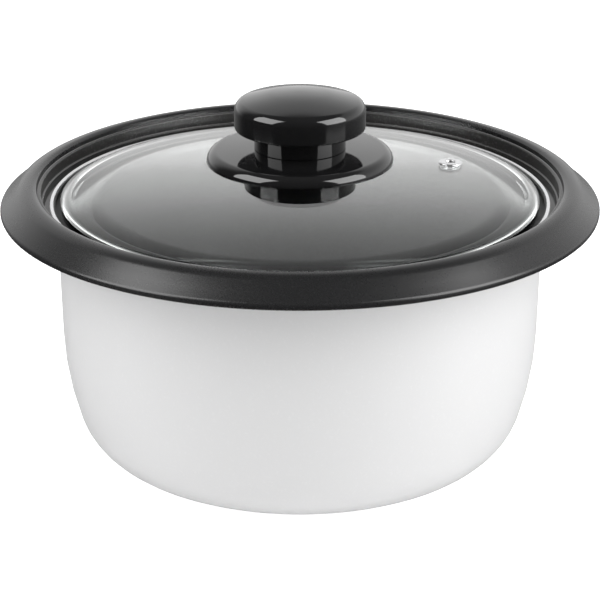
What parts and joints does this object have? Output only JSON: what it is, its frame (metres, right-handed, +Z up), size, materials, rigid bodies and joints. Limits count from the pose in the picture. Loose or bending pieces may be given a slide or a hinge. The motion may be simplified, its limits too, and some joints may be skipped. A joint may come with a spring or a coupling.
{
  "type": "slow cooker",
  "caption": "Small round slow cooker with a pale bowl-shaped body, a drooping black brim, a recessed steel-banded glass lid and a finger-guard knob; removable pot, rear selector.",
  "frame": {"origin": "on the surface it stands on, on the axis of the bowl", "axes": "+Z up, -Y the plain front, +Y the back with the controls and the mains inlet, +X to the right seen from the front"},
  "size_m": [0.24, 0.24, 0.1528],
  "materials": {
    "housing_paint": "satin pale silver paint",
    "brim_black": "satin black, fine grain",
    "pot_coating": "cast aluminium with black non-stick coating",
    "lid_glass": "clear tempered glass",
    "polished_steel": "polished stainless steel",
    "plain_steel": "zinc plated steel",
    "aluminium": "mill finish",
    "brass": "turned",
    "seal_rubber": "silicone",
    "foot_rubber": "matt",
    "gasket_rubber": "translucent silicone",
    "knob_gloss": "mirror-gloss black phenolic",
    "pod_plastic": "fine spark grain",
    "pointer_white": "satin",
    "lens_amber": "clear amber",
    "lamp_glass": "neon lamp",
    "mica": "mica paper",
    "winding": "resistance ribbon",
    "blanket": "ceramic fibre",
    "switch_plastic": "moulded",
    "terminal_plastic": "moulded",
    "wire_brown": "silicone sleeve",
    "wire_blue": "silicone sleeve",
    "wire_white": "silicone sleeve",
    "wire_red": "silicone sleeve"
  },
  "bodies": {
    "cooker": {"outer_housing": "housing_paint", "support_ring": "brim_black", "rim_collar": "brim_black", "heat_well": "aluminium", "heater_mica_inner": "mica", "heater_winding": "winding", "heater_mica_outer": "mica", "heater_clamp": "plain_steel", "clamp_screw": "plain_steel", "insulation_blanket": "blanket", "base_plate": "plain_steel", "centre_stud": "plain_steel", "stud_washer": "plain_steel", "stud_nut": "plain_steel", "rubber_foot_1": "foot_rubber", "rubber_foot_2": "foot_rubber", "rubber_foot_3": "foot_rubber", "rubber_foot_4": "foot_rubber", "base_screws": "plain_steel", "collar_screws": "plain_steel", "control_pod": "pod_plastic", "rotary_switch": "switch_plastic", "switch_nut": "plain_steel", "pilot_lens": "lens_amber", "pilot_lamp": "lamp_glass", "power_inlet": "pod_plastic", "inlet_pins": "brass", "terminal_block": "terminal_plastic", "terminal_bracket": "plain_steel", "thermal_fuse": "plain_steel", "fuse_clip": "aluminium", "live_wire": "wire_brown", "neutral_wire": "wire_blue", "low_heat_wire": "wire_white", "high_heat_wire": "wire_red", "fuse_wire": "wire_white", "earth_screw": "brass"},
    "pot": {"cooking_pot": "pot_coating"},
    "lid": {"lid_glass": "lid_glass", "lid_band": "polished_steel", "band_seal": "seal_rubber", "vent_grommet": "polished_steel", "knob_guard": "knob_gloss", "knob_grip": "knob_gloss", "knob_insert": "brass", "knob_screw": "polished_steel", "knob_washer": "plain_steel", "lid_gasket_upper": "gasket_rubber", "lid_gasket_lower": "gasket_rubber"},
    "selector": {"selector_knob": "pod_plastic", "selector_pointer": "pointer_white", "switch_spindle": "plain_steel"}
  },
  "joints": [
    {"name": "pot_lift", "type": "slide", "parent": "cooker", "child": "pot", "axis": [0, 0, 1], "range_m": [0, 0.12]},
    {"name": "lid_lift", "type": "slide", "parent": "pot", "child": "lid", "axis": [0, 0, 1], "range_m": [0, 0.08]},
    {"name": "selector_turn", "type": "hinge", "parent": "cooker", "child": "selector", "pos_m": [0.022, 0.108, 0.04], "axis": [0, -1, 0], "range_deg": [0, 135]}
  ]
}
